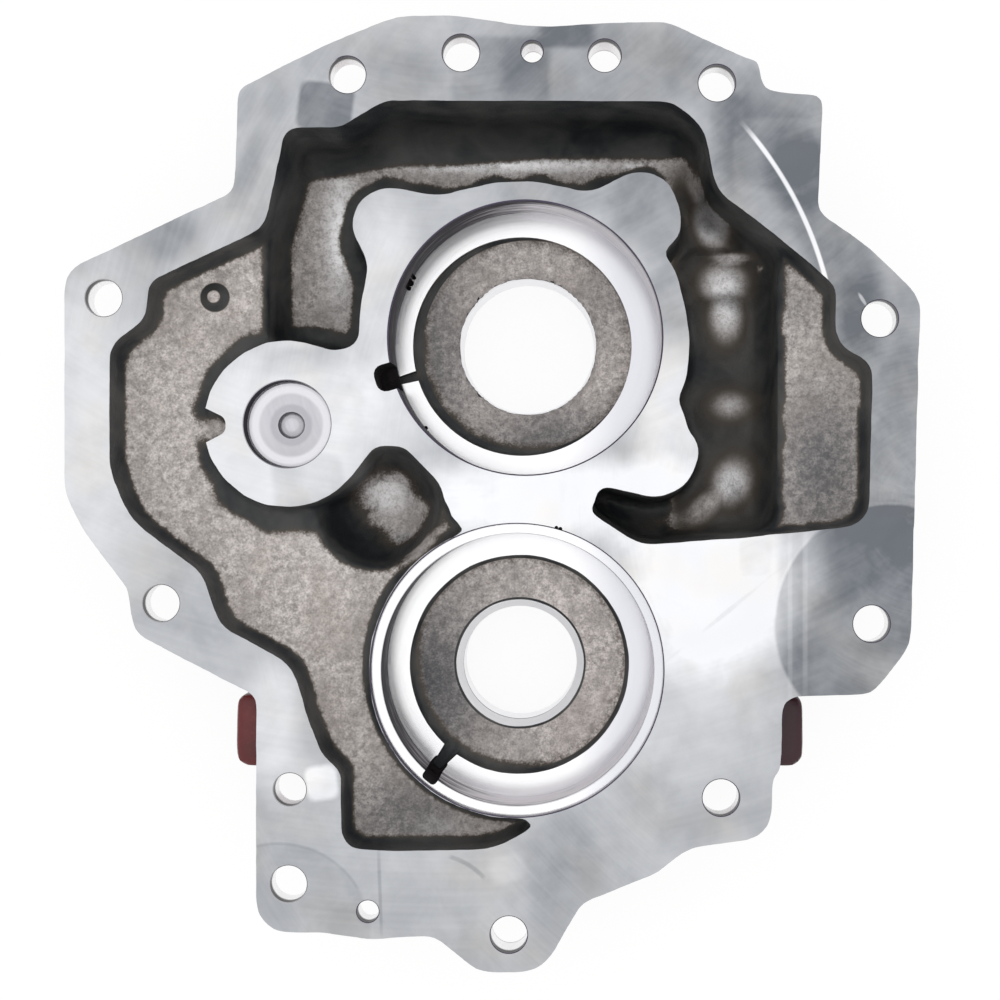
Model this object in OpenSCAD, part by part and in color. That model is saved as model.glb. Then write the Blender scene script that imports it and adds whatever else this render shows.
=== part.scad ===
/* [Mating flange] */
// Reach of the flange to the right of the upper shaft
right_reach = 144.5; // [143:0.5:147]
// Reach of the flange to the left of the upper shaft
left_reach = 168.5; // [167:0.5:171]
// Reach of the flange above the upper shaft
top_reach = 118; // [117:0.5:120]
// Reach of the flange below the lower shaft
bottom_reach = 110.5; // [110:0.5:113]
// Thickness of the bolting flange
flange_t = 13; // [11:0.5:15]
// Diameter of the ten main bolt holes
bolt_hole_d = 13.5; // [12.5:0.5:14.5]
// Diameter of the two dowel holes
dowel_hole_d = 12; // [10:0.5:13]
// Diameter of the two small screw holes
screw_hole_d = 8; // [6:0.5:9]
// Diameter of the spot faces under the bolt heads
spot_face_d = 24; // [22:1:26]
// Height of the thick pads behind the three deep holes
pad_h = 4; // [3:0.5:6]
// Diameter of those pads
pad_d = 25; // [24:0.5:26]

/* [Shaft centres] */
// Distance of the lower shaft below the upper one
shaft_drop = 121.5; // [119:0.5:126]
// Distance of the lower shaft to the left of the upper one
shaft_shift = 3; // [0:0.5:5]
// Distance of the pilot bore to the left of the upper shaft
pilot_left = 87; // [85:0.5:89]
// Distance of the pilot bore below the upper shaft
pilot_drop = 31.5; // [30:0.5:33]

/* [Bearing seats] */
// Diameter of both bearing seats
seat_d = 100; // [97:0.5:102]
// Depth of the bearing seats below the mating face
seat_depth = 26; // [23:0.5:29]
// Lead-in chamfer of the upper seat
seat_chamfer = 0.5; // [0.2:0.1:0.8]
// Width of the shoulder that stops the bearing
shoulder_w = 8.5; // [7:0.5:10]
// Depth of the rough floor behind the shoulder
floor_drop = 6; // [4:0.5:7]
// Diameter of the snap ring counterbore round the lower seat
ring_recess_d = 107; // [105:0.5:108]
// Depth of that counterbore
ring_recess_depth = 2.6; // [2:0.1:4]
// Thickness of the cast wall round the upper seat
boss_wall = 9.5; // [8:0.5:11]
// Distance that the cast boss sits below the upper bore axis
boss_core_shift = 2; // [0:0.5:3]
// Thickness of the thin cast wall round the lower seat
ring_wall = 4.3; // [4:0.1:6]

/* [Shaft holes and rear bosses] */
// Diameter of the rough cast hole behind the upper bearing
upper_hole_d = 51; // [46:1:54]
// Diameter of the bored hole behind the lower bearing
lower_hole_d = 43.5; // [40:0.5:46]
// Width of the chamfer on the lower hole
lower_hole_chamfer = 2.8; // [1:0.2:3.4]
// Diameter of the two round rear bosses
rear_boss_d = 84; // [80:1:90]
// Depth of the rear boss faces behind the mating face
rear_depth = 64; // [60:1:70]
// Diameter of the oil seal recess in each rear boss
seal_d = 62; // [58:1:68]
// Depth of the oil seal recess
seal_depth = 10; // [8:0.5:12]

/* [Pilot boss] */
// Diameter of the pilot boss
pilot_boss_d = 61; // [58:0.5:63]
// Diameter of the blind pilot bore
pilot_d = 32; // [28:0.5:36]
// Depth of the blind pilot bore
pilot_depth = 9; // [7:0.5:11]
// Width of the oil notch in the rim of the pilot boss
pilot_notch_w = 6.5; // [5:0.5:8]

/* [Pocket] */
// Depth of the shallow pocket floor
pocket_depth = 15; // [13:0.5:17]
// Depth of the gear trough round the upper boss
trough_depth = 42; // [38:1:46]
// Thickness of the cast walls and floors
wall_t = 8; // [7:0.5:9]
// Draft angle of the cast walls in degrees
draft = 3; // [1:0.5:4]
// Fillet round the shallow pocket floor
pocket_fillet = 4; // [2:0.5:4.5]
// Fillet round the trough floor
trough_fillet = 11; // [8:0.5:12]
// Radius of the round scoop beside the pilot boss
scoop_r = 23; // [21:0.5:24]
// Depth of that scoop
scoop_depth = 38; // [34:1:42]
// Diameter of the small raised pip on the pocket floor
pip_d = 6; // [4:0.5:8]
// Height of that pip
pip_h = 4; // [2:0.5:5]

/* [Oil ways] */
// Width of the upper bearing's oil pocket
oil_pocket_w = 9; // [7:0.5:10]
// Reach of that pocket from the bore axis
oil_pocket_reach = 56.5; // [55:0.5:57.5]
// Width of the lower bearing's oil groove
oil_groove_w = 5.5; // [4:0.5:7]
// Reach of that groove from the bore axis
oil_groove_reach = 52.3; // [51.5:0.1:53]
// Width of the narrow slots through the bearing shoulders
oil_slot_w = 3.5; // [2.5:0.5:4.5]

/* [Rear ribs and guard arm] */
// Thickness of the rear ribs
rib_t = 8; // [6:0.5:10]
// Distance between the outer faces of the two guard lugs
guard_span = 216; // [210:1:222]
// Height of the guard arm
guard_h = 28; // [26:1:30]
// Distance of the guard arm's middle below the lower shaft
guard_drop = 25; // [22:0.5:27]
// Depth of the guard arm's rear face behind the mating face
guard_depth = 54; // [50:1:58]
// Thickness of the guard arm from front to rear
guard_t = 28; // [24:1:32]
// Diameter of the tapped hole in each guard lug
guard_hole_d = 10.2; // [8:0.2:12]
// Depth of that tapped hole
guard_hole_depth = 22; // [18:1:26]
// Distance of that hole from the outer face of its lug
guard_hole_in = 13; // [12:0.5:16]

/* [Hidden] */

lower = [-shaft_shift, -shaft_drop];
pilot = [-pilot_left, -pilot_drop];
seat_r = seat_d / 2;
boss_r = seat_r + boss_wall;
ring_r = seat_r + ring_wall;
boss_mid = [0, -boss_core_shift];
stock = 3;            // metal above the mating face that the facing cut takes off
arc_step = 18;        // turn of one straight piece of a cast corner, in degrees
least_r = 0.3;        // smallest radius that a moved corner keeps
arc_slack = 0.95;     // leaves a short flat between the roundings of an arc
core_step = 0.6;      // the deep core sits this much inside the shallow one
shell_step = 0.8;     // the shallow pocket's shell is this much thicker than the trough's
neck_top = 13.4;      // height of the flare of a rear boss above its face
guard_web = 88;       // half length of the web between the guard arm and the flange
upper_oil_angle = 196;
lower_oil_angle = 231;
bite = 1;             // overlap of shapes that are joined or cut
pip_flare = 2.5;      // the foot of the pip is this much wider than its top
round_fn = 96;

// Hole centres: those of the upper half are counted from the upper shaft,
// those of the lower half from the lower shaft
upper_bolts = [
    [-65, 96], [-23.5, top_reach - 14], [70, 93], [14.5 - left_reach, 14.5], [right_reach - 15, 7]];
lower_bolts = [
    [-130, 24.5], [right_reach - 15, 17], [74.5, -46.5], [-83.5, -78], [-3, 14 - bottom_reach]];
upper_dowel = [29, 103];
lower_dowel = [-83, -43.5];
upper_screw = [2.5, 104.5];
lower_screw = [-54.5, -88];
deep_lower_bolt = 4;  // the bottom bolt sits in the third thick pad

// Middles of the thick pads, a little inwards of their holes so that they stay on the flange
pads = [[29, 100], [2.5, 99.5], lower + [-3, -94.5]];

// Rear ribs: the centre they start from, direction, start and end, depth at the start
ribs = [
    [lower, 196, 40, 90, 46], [lower, 238, 40, 108, 46], [lower, 268, 40, 94, 52],
    [lower, 304, 40, 80, 52], [lower, 8, 40, 128, 52], [pilot, 165, 0, 66, 40],
    [[90, -20], 22, 0, 40, 46]];
spine = [-30, 22];    // left and right side of the rear web between the two bosses

// Places in the pocket: the scoop, the pip, and the swells with their radius and height
scoop_at = [-55.5, -61.5];
pip_at = [-116.5, 16];
swells = [[70, 36, 15, 3], [76, 8, 15, 3.5], [77, -28, 12, 2], [72, -62, 16, 4], [-80, 20, 12, 2]];

// Corners are [x, y, radius], counter-clockwise, seen from the mating side
function shifted(at, corners) = [for (c = corners) [at[0] + c[0], at[1] + c[1], c[2]]];

// Corners of the polygon drawn round an arc, so that their roundings form that arc
function around(at, r, from, to) =
    let (n = ceil(abs(to - from) / 60), step = (to - from) / n)
    [for (i = [0:n - 1])
        let (a = from + step * (i + 0.5), reach = r / cos(step / 2))
        [at[0] + reach * cos(a), at[1] + reach * sin(a), r * arc_slack]];

function unit(v) = v / norm(v);
function left_of(v) = [-v[1], v[0]];
function turn_of(u, v) = u[0] * v[1] - u[1] * v[0];

// One rounded corner, moved inwards by d; its radius shrinks or grows with the move
function corner_arc(before, here, after, d) =
    let (
        u = unit([here[0] - before[0], here[1] - before[1]]),
        v = unit([after[0] - here[0], after[1] - here[1]]),
        nu = left_of(u),
        nv = left_of(v),
        side = turn_of(u, v) > 0 ? 1 : -1,
        bend = acos(max(-1, min(1, u * v))),
        r = max(least_r, here[2] - side * d),
        tip = [here[0], here[1]] + d * (nu + nv) / (1 + nu * nv),
        start = tip - u * r * tan(bend / 2),
        mid = start + nu * side * r,
        n = max(1, ceil(bend / arc_step))
    )
    [for (i = [0:n])
        let (a = side * bend * i / n, arm = start - mid)
        mid + [arm[0] * cos(a) - arm[1] * sin(a), arm[0] * sin(a) + arm[1] * cos(a)]];

function rounded(corners, d = 0) =
    let (n = len(corners))
    [for (i = [0:n - 1])
        each corner_arc(corners[(i + n - 1) % n], corners[i], corners[(i + 1) % n], d)];

// Solid between copies of one outline; each ring is [height, inward move]
module loft(corners, rings) {
    n = len(rounded(corners));
    points = [for (ring = rings) for (p = rounded(corners, ring[1])) [p[0], p[1], ring[0]]];
    top = (len(rings) - 1) * n;
    polyhedron(points, concat(
        [[for (i = [0:n - 1]) i]],
        [for (k = [0:len(rings) - 2]) for (i = [0:n - 1])
            [k * n + i, (k + 1) * n + i, (k + 1) * n + (i + 1) % n, k * n + (i + 1) % n]],
        [[for (i = [n - 1:-1:0]) top + i]]), 4);
}

// Rings of a cast cavity, from its floor up to its mouth
function cavity_rings(depth, fillet, mouth, extra) =
    let (d0 = extra + (depth - fillet) * tan(draft))
    concat(
        [for (a = [90:-30:30]) [-depth + fillet * (1 - sin(a)), d0 + fillet * (1 - cos(a))]],
        [[-depth + fillet, d0], [mouth, extra - mouth * tan(draft)]]);

// Rings of the shell behind a cavity, from its back up into the flange; skin is its thickness
function shell_rings(depth, edge, skin) =
    let (d0 = depth * tan(draft) - skin)
    [[-depth - wall_t, d0 + edge], [-depth - wall_t + edge * 0.3, d0 + edge * 0.3],
     [-depth - wall_t + edge, d0], [-flange_t + skin / 4, flange_t * tan(draft) - skin]];

upper_edge = [
    [right_reach, 15, 12], [124, 34.5, 45], [107, 46, 6], [109, 88.5, 4], [87, 90.5, 3],
    [85.5, 101, 2], [79, 103, 20], [52, 115.5, 14], [27.5, 115, 60], [4.5, 113.5, 50],
    [-26.5, top_reach, 40], [-47.5, top_reach - 0.5, 30], [-74, 106.5, 40], [-105, 91, 5],
    [-106.5, 53.5, 4], [-left_reach, 24.5, 11]];
lower_edge = [
    [shaft_shift - left_reach, 64.5, 18], [-157.5, 49.5, 30], [-142.5, 30, 5], [-140, 13.5, 9],
    [-95.5, -9.5, 3], [-95.5, -96, 12], [-70, -96, 25], [-54.5, -98.5, 25],
    [-30.5, -97, 6], [-14, -bottom_reach, 14], [9, -bottom_reach, 14], [24, -85, 6], [50.5, -74.5, 10],
    [63, -65, 15], [93, -61, 11], [93.5, -39.5, 2.5], [96.5, -36.5, 2.5], [97, -10, 5],
    [129.5, -9, 8], [144, 9, 14]];
flange_edge = concat(upper_edge, shifted(lower, lower_edge));

// The rim of the pocket runs from the tip of its tail, up the right side, over the top,
// down the left side and along the bottom to the lower seat; inside it closes through bosses
tail_rim = [[6, 72, 2], [44.5, 46, 15], [81.5, 48.5, 60]];
right_rim = [[126.5, -9, 7], [113, -2.5, 11], [113, 17.5, 3]];
top_rim = [
    [69, 53, 15], [65.5, 76.5, 16], [53.5, 86, 10], [-51, 86.5, 8], [-67.5, 76.5, 10]];
left_rim = [
    [-88, 76.5, 5], [-89, 68.5, 30], [-95, 40, 10], [-137, 20.5, 5], [-138.5, 6.5, 8], [-151.5, -2.5, 9]];
bottom_rim = [
    [-148.5, 73, 20], [-141, 55, 25], [-114.5, 35.5, 12], [-108.5, 15, 10], [-83, 1, 15],
    [-78, -16.5, 12], [-72, -31.5, 10], [-64.5, -38, 8], [-63.5, -65, 6], [-6, -64, 20],
    [24, -46, 2], [4, -2, 2]];
shelf_corner = [[128.5, 53.5, 9]];
pocket_edge = concat(
    shifted(lower, tail_rim), shifted(lower, shelf_corner), right_rim, top_rim, left_rim,
    shifted(lower, bottom_rim));

// The deep trough shares the tail and the top rim and has its own left and right sides
trough_right = [[95, -71, 8], [95, 32.5, 8]];
trough_left = [[-86.5, 76.5, 5], [-97.5, 34, 20], [-97.5, -24, 4], [-12, -30, 2]];
trough_edge = concat(shifted(lower, tail_rim), trough_right, top_rim, trough_left);

// Round ears of the upper boss: centre and radius
left_ear = [-51, 42, 12];
top_ear = [42.5, 47.5, 13];
low_ear = [48.5, -43.5, 14];
pilot_arc = [72, 322];     // the pilot boss stands free between these angles
left_ear_arc = [66, 212];

// The bosses that stand up to the mating face, joined by their webs
boss_edge = concat(
    around(boss_mid, boss_r, -22, 24), [[57, 30.5, 10]],
    around(top_ear, top_ear[2], -28, 122), [[24, 53.5, 12]],
    around(boss_mid, boss_r, 70, 118), [[-31, 52, 14]],
    around(left_ear, left_ear[2], left_ear_arc[0], left_ear_arc[1]),
    [[-57, 27, 10], [-60.5, 10, 25], [-61, -3, 5], [-70, -4.8, 6]],
    around(pilot, pilot_boss_d / 2, pilot_arc[0], pilot_arc[1]),
    [[-54.8, -39.5, 4], [-44.5, -39.5, 3], [-31, -53.5, 6], [-29, -61.5, 5]],
    shifted(lower, [[-15, 55, 2], [-15, 0, 2], [20, 0, 2], [24, 62, 4]]),
    [[26, -53.5, 6]],
    around(low_ear, low_ear[2], -118, 28), [[61, -22, 10]]);
boss_foot = trough_depth + wall_t / 2;

// A round post with draft: its radius at the mating face, growing with depth
module post(r, depth) {
    translate([0, 0, -depth])
        cylinder(h = depth + stock, r1 = r + depth * tan(draft), r2 = r - stock * tan(draft),
            $fn = round_fn);
}

// A hole or recess from one height down to another
module hole(d, from, to) {
    translate([0, 0, to]) cylinder(h = from - to, d = d, $fn = round_fn);
}

module scoop(grow) {
    bottom = -scoop_depth - grow;
    r = scoop_r + grow;
    rotate_extrude($fn = round_fn)
        polygon([[0, bottom], [r * 0.42, bottom], [r * 0.66, bottom + 3], [r * 0.84, bottom + 9],
            [r * 0.96, -pocket_depth - 3], [r + 1, -pocket_depth + 4], [0, -pocket_depth + 4]]);
}

// A low round swell on the trough floor, with its radius and height
module swell(r, h) {
    rotate_extrude($fn = 48)
        polygon([[0, -bite], [r + bite, -bite], [r, 0], [r * 0.8, h * 0.3], [r * 0.55, h * 0.7],
            [r * 0.3, h * 0.93], [0, h]]);
}

// What the cores leave hollow: pocket, trough and scoop, less the bosses that stand in them
module cavity() {
    difference() {
        union() {
            loft(pocket_edge, cavity_rings(pocket_depth, pocket_fillet, stock + bite, 0));
            loft(trough_edge, cavity_rings(trough_depth, trough_fillet, -9, core_step));
            translate([scoop_at[0], scoop_at[1], 0]) scoop(0);
        }
        loft(boss_edge, [[-boss_foot, -boss_foot * tan(draft)], [stock + 2, 2 * tan(draft)]]);
        translate([lower[0], lower[1], 0]) post(ring_r, boss_foot);
        translate([pip_at[0], pip_at[1], -pocket_depth - bite])
            cylinder(h = pip_h + bite, r1 = pip_d / 2 + pip_flare, r2 = pip_d / 2, $fn = round_fn);
        for (s = swells) translate([s[0], s[1], -trough_depth]) swell(s[2], s[3]);
    }
}

// One rear rib: a thin sloping wall from a boss out to the flange
module rib(at, angle, from, to, depth) {
    translate([at[0], at[1], 0]) rotate([0, 0, angle]) rotate([90, 0, 0])
        translate([0, 0, -rib_t / 2]) linear_extrude(rib_t)
            polygon([[from, -bite], [to, -bite], [to, -flange_t - 3],
                [(from + to) / 2, -depth * 0.62], [from, -depth]]);
}

module guard_arm() {
    reach = guard_span / 2;
    translate([lower[0], lower[1] - guard_drop, 0]) {
        translate([0, 0, -guard_depth]) linear_extrude(guard_t)
            polygon(rounded([[-reach, -guard_h / 2, 5], [reach, -guard_h / 2, 5],
                [reach, guard_h / 2, 5], [-reach, guard_h / 2, 5]]));
        rotate([90, 0, 0]) translate([0, 0, -rib_t / 2]) linear_extrude(rib_t)
            polygon([[-guard_web, -bite], [guard_web, -bite], [guard_web, -flange_t],
                [guard_web - 6, -guard_depth + guard_t / 2],
                [6 - guard_web, -guard_depth + guard_t / 2], [-guard_web, -flange_t]]);
    }
}

// The rough back of the casting: shells behind the cavities, bosses, ribs and lugs
module back() {
    loft(pocket_edge, shell_rings(pocket_depth, 3, wall_t + shell_step));
    loft(trough_edge, shell_rings(trough_depth, 7, wall_t));
    translate([scoop_at[0], scoop_at[1], 0]) scoop(wall_t);
    for (at = [boss_mid, lower])
        translate([at[0], at[1], 0]) rotate_extrude($fn = round_fn)
            polygon([[0, 0], [boss_r, 0], [boss_r - 1, -seat_depth - floor_drop - 2],
                [boss_r - 5, -seat_depth - floor_drop - wall_t],
                [rear_boss_d / 2 + 5, -rear_depth + neck_top], [rear_boss_d / 2, -rear_depth + 8],
                [rear_boss_d / 2, -rear_depth], [0, -rear_depth]]);
    translate([spine[0], lower[1], -seat_depth - wall_t])
        cube([spine[1] - spine[0], shaft_drop, seat_depth]);
    guard_arm();
    for (r = ribs) rib(r[0], r[1], r[2], r[3], r[4]);
}

// The casting before it is machined, with stock on its mating side
module blank() {
    translate([0, 0, -flange_t]) linear_extrude(flange_t + stock) polygon(rounded(flange_edge));
    back();
    for (at = pads) translate([at[0], at[1], 0]) hole(pad_d, -bite, -flange_t - pad_h);
}

// Spot face and hole of one fixing
module fixing(at, d, seat) {
    translate([at[0], at[1], 0]) {
        hole(d, stock + bite, -rear_depth);
        hole(spot_face_d, -seat, -rear_depth - bite);
    }
}

// Upper bearing seat, its shoulder, the rough hole and the rear seal recess
module upper_bore() {
    rotate_extrude($fn = round_fn)
        polygon([[0, stock + bite], [seat_r + seat_chamfer, stock + bite],
            [seat_r + seat_chamfer, 0], [seat_r, -seat_chamfer], [seat_r, -seat_depth],
            [seat_r - shoulder_w, -seat_depth],
            [seat_r - shoulder_w, -seat_depth - floor_drop + 2],
            [seat_r - shoulder_w - 2, -seat_depth - floor_drop],
            [upper_hole_d / 2 + 4, -seat_depth - floor_drop - 1.5],
            [upper_hole_d / 2, -seat_depth - floor_drop - 5],
            [upper_hole_d / 2, -rear_depth + seal_depth], [seal_d / 2, -rear_depth + seal_depth],
            [seal_d / 2, -rear_depth - bite], [0, -rear_depth - bite]]);
}

// Lower bearing seat with its snap ring counterbore and the bored hole behind it
module lower_bore() {
    rotate_extrude($fn = round_fn)
        polygon([[0, stock + bite], [ring_recess_d / 2, stock + bite],
            [ring_recess_d / 2, -ring_recess_depth], [seat_r, -ring_recess_depth],
            [seat_r, -seat_depth], [seat_r - shoulder_w, -seat_depth],
            [seat_r - shoulder_w, -seat_depth - floor_drop + 2],
            [seat_r - shoulder_w - 2, -seat_depth - floor_drop],
            [lower_hole_d / 2 + lower_hole_chamfer, -seat_depth - floor_drop],
            [lower_hole_d / 2, -seat_depth - floor_drop - lower_hole_chamfer],
            [lower_hole_d / 2, -rear_depth + seal_depth], [seal_d / 2, -rear_depth + seal_depth],
            [seal_d / 2, -rear_depth - bite], [0, -rear_depth - bite]]);
}

// Oil way of a bearing: a pocket beside the seat and a slot through the shoulder
module oil_way(angle, pocket_w, reach, pocket_bottom) {
    rotate([0, 0, angle]) {
        translate([0, 0, -pocket_bottom]) linear_extrude(pocket_bottom + stock + bite)
            polygon(rounded([[seat_r - 1.5, -pocket_w / 2, 1], [reach, -pocket_w / 2, 2],
                [reach, pocket_w / 2, 2], [seat_r - 1.5, pocket_w / 2, 1]]));
        translate([0, 0, -seat_depth - floor_drop + bite]) linear_extrude(floor_drop)
            polygon([[seat_r - shoulder_w - 3, -oil_slot_w], [seat_r - shoulder_w + 3, -oil_slot_w / 2],
                [seat_r + 0.5, -oil_slot_w / 2], [seat_r + 0.5, oil_slot_w / 2],
                [seat_r - shoulder_w + 3, oil_slot_w / 2], [seat_r - shoulder_w - 3, oil_slot_w]]);
    }
}

module pilot_bore() {
    hole(pilot_d, stock + bite, -pilot_depth);
    translate([0, 0, -pilot_depth - 2])
        cylinder(h = 2.1, r1 = 1, r2 = 6, $fn = round_fn);
    translate([-pilot_boss_d / 2 - 1, 0, -pocket_depth])
        linear_extrude(pocket_depth + stock + bite) polygon(rounded([
            [-6, -pilot_notch_w / 2 - 2, 1], [1, -pilot_notch_w / 2, 2], [7, -pilot_notch_w / 2, 3],
            [7, pilot_notch_w / 2, 3], [1, pilot_notch_w / 2, 2], [-6, pilot_notch_w / 2 + 2, 1]]));
}

module cover_casting() color([0.45, 0.45, 0.46]) {
    difference() {
        blank();
        cavity();
        translate([-left_reach - stock, lower[1] - bottom_reach - stock, 0])
            cube([left_reach + right_reach + 2 * stock,
                top_reach + shaft_drop + bottom_reach + 2 * stock, 2 * stock]);
        upper_bore();
        oil_way(upper_oil_angle, oil_pocket_w, oil_pocket_reach, seat_depth - 4);
        translate([lower[0], lower[1], 0]) {
            lower_bore();
            oil_way(lower_oil_angle, oil_groove_w, oil_groove_reach, seat_depth + bite);
        }
        translate([pilot[0], pilot[1], 0]) pilot_bore();
        for (at = upper_bolts) fixing(at, bolt_hole_d, flange_t);
        for (i = [0:len(lower_bolts) - 1])
            fixing(lower + lower_bolts[i], bolt_hole_d,
                flange_t + (i == deep_lower_bolt ? pad_h : 0));
        fixing(upper_dowel, dowel_hole_d, flange_t + pad_h);
        fixing(lower + lower_dowel, dowel_hole_d, flange_t);
        fixing(upper_screw, screw_hole_d, flange_t + pad_h);
        fixing(lower + lower_screw, screw_hole_d, flange_t);
        for (side = [-1, 1])
            translate([lower[0] + side * (guard_span / 2 - guard_hole_in), lower[1] - guard_drop, 0])
                hole(guard_hole_d, -guard_depth + guard_hole_depth, -guard_depth - bite);
    }
}

cover_casting();
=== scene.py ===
import math

import bmesh
import bpy
import numpy as np
from mathutils import Matrix, Vector, kdtree, noise


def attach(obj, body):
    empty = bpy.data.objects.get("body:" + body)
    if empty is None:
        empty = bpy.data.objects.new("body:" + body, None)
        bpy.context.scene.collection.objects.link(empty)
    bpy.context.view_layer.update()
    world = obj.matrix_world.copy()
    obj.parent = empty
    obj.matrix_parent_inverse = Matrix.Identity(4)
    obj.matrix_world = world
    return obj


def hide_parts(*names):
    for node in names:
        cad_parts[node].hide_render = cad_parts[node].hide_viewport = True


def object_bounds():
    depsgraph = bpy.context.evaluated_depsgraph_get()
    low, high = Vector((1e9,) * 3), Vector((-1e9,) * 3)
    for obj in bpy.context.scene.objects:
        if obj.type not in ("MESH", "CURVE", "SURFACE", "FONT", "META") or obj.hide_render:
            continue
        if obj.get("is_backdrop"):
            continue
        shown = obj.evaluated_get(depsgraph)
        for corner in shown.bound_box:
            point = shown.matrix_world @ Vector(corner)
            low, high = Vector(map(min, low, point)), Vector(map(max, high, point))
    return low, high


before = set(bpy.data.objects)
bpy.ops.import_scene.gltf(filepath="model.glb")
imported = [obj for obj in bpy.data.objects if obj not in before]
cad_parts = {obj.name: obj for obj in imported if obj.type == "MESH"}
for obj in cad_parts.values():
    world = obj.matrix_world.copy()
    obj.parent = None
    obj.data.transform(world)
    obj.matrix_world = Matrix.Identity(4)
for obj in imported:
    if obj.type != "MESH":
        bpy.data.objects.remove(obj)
cad_low, cad_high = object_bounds()


# The raw casting: one pour of grey iron in a sand mould, with a core for the pocket. It leaves
# the mould with a few millimetres of stock on every face that is machined later, and with the
# rounded edges and the slightly wavy skin of sand.
MM = 0.001
stock = 3
grain_size = 1.8
upper_at, lower_at, pilot_at = (0, 0), (-3, -121.5), (-87, -31.5)
upper_shaft, lower_shaft, pilot_shaft = (Vector((*at, 0)) * MM for at in (upper_at, lower_at, pilot_at))
flange_back = -13
pad_back = -17
rear_face = -64
lug_back = -54
seat_r, seat_floor = 50, -26
ring_r, ring_floor = 53.5, -2.6
recess_r, recess_floor = 41.5, -32.3
seal_r, seal_floor = 31, -54
lower_hole_r, pilot_r = 21.75, 16
bolt_r, dowel_r, screw_r, tapped_r = 6.75, 6, 4, 5.1
finishes = range(7)
MILLED, FACED, BORED, OILED_AND_SHADED, SAND, PAINTED, DRILLED = finishes
# Holes through the flange: x, y, radius, and the height of the spot face behind
flange_holes = [(-65, 96, bolt_r, flange_back), (-23.5, 104, bolt_r, flange_back),
                (70, 93, bolt_r, flange_back), (-154, 14.5, bolt_r, flange_back),
                (129.5, 7, bolt_r, flange_back), (-133, -97, bolt_r, flange_back),
                (126.5, -104.5, bolt_r, flange_back), (71.5, -168, bolt_r, flange_back),
                (-86.5, -199.5, bolt_r, flange_back), (-6, -218, bolt_r, pad_back),
                (29, 103, dowel_r, pad_back), (-86, -165, dowel_r, flange_back),
                (2.5, 104.5, screw_r, pad_back), (-57.5, -209.5, screw_r, flange_back)]
lug_holes = [(-98, -146.5), (92, -146.5)]
# Stretches of the pocket edge that the mould maker moved: middle, direction, half sizes, how far
moved_edges = ((91, 36.8, -44, 30, 6, 1.25, 1.30), (-96, -116, -46, 22, 8, 1.2, 1.2),
               (-74, -145, -63, 18, 7, 1.6, 0.7), (-34, -187, 0, 24, 6, 0, -1.1),
               (-2, 58, 0, 30, 8, 0, -1.7))


def turned(bm, at, profile, steps=96):
    """A closed body of revolution about the axis through at; profile is (radius, height) in mm."""
    ring = [bm.verts.new((at[0] + r * MM, at[1], z * MM)) for r, z in profile]
    edges = [bm.edges.new(pair) for pair in zip(ring, ring[1:])]
    if profile[0][0] > 0:
        edges.append(bm.edges.new((ring[-1], ring[0])))
    bmesh.ops.spin(bm, geom=ring + edges, cent=at, axis=(0, 0, 1), angle=math.tau, steps=steps,
                   use_merge=True)


def plug(bm, at, profile, steps=64):
    """The same about the upright axis over at, whatever the height of at."""
    turned(bm, Vector((at[0], at[1], 0)), profile, steps)


def closed(bm):
    """Merges the doubled points and turns all faces outwards."""
    bmesh.ops.remove_doubles(bm, verts=bm.verts, dist=1e-7)
    bmesh.ops.recalc_face_normals(bm, faces=bm.faces)
    return bm


def as_object(bm, name):
    mesh = bpy.data.meshes.new(name)
    bm.to_mesh(mesh)
    bm.free()
    body = bpy.data.objects.new(name, mesh)
    bpy.context.scene.collection.objects.link(body)
    return body


def modified(body):
    """Takes the body's modifiers into its mesh."""
    bpy.context.view_layer.update()
    whole = body.evaluated_get(bpy.context.evaluated_depsgraph_get())
    mesh = bpy.data.meshes.new_from_object(whole)
    body.modifiers.clear()
    body.data = mesh
    return body


def smooth(t):
    """Runs smoothly from 0 to 1 as t does, and stays there outside that range."""
    t = min(1, max(0, t))
    return t * t * (3 - 2 * t)


blank = bmesh.new()
blank.from_mesh(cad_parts["cover_casting"].data)
bmesh.ops.remove_doubles(blank, verts=blank.verts, dist=2e-6)
for side, level in ((1, 0.0), (-1, rear_face * MM)):
    flat = [f for f in blank.faces
            if f.normal.z * side > 0.999 and abs(f.calc_center_median().z - level) < 1e-5]
    raised = bmesh.ops.extrude_face_region(blank, geom=flat)
    bmesh.ops.translate(blank, vec=(0, 0, side * stock * MM),
                        verts=[v for v in raised["geom"] if isinstance(v, bmesh.types.BMVert)])

# Stock in the bores and holes, which the mould leaves solid or narrower than they end up
fill = bmesh.new()
rear_stock = rear_face - stock
plug(fill, upper_shaft, [(38.8, stock), (38.8, -33), (seat_r + 1.5, -33), (seat_r + 1.5, stock)], 96)
plug(fill, lower_shaft, [(recess_r, stock), (recess_r, -27), (53.4, -27), (54.4, stock)], 96)
plug(fill, upper_shaft, [(25.5, rear_stock), (25.5, -53), (seal_r + 2, -53), (seal_r + 2, rear_stock)])
plug(fill, lower_shaft, [(0, rear_stock), (0, -32), (26, -32), (seal_r + 2, -53),
                         (seal_r + 2, rear_stock), (0, rear_stock)])
plug(fill, pilot_shaft, [(0, -11.5), (pilot_r + 1, -11.5), (pilot_r + 1, stock), (0, stock)])
for x, y, r, back in flange_holes:
    plug(fill, (x * MM, y * MM), [(0, back), (r + 1.2, back), (r + 1.2, stock), (0, stock)], 32)
for x, y in lug_holes:
    plug(fill, (x * MM, y * MM), [(0, lug_back), (6.5, lug_back), (6.5, -30), (0, -30)], 32)
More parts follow.
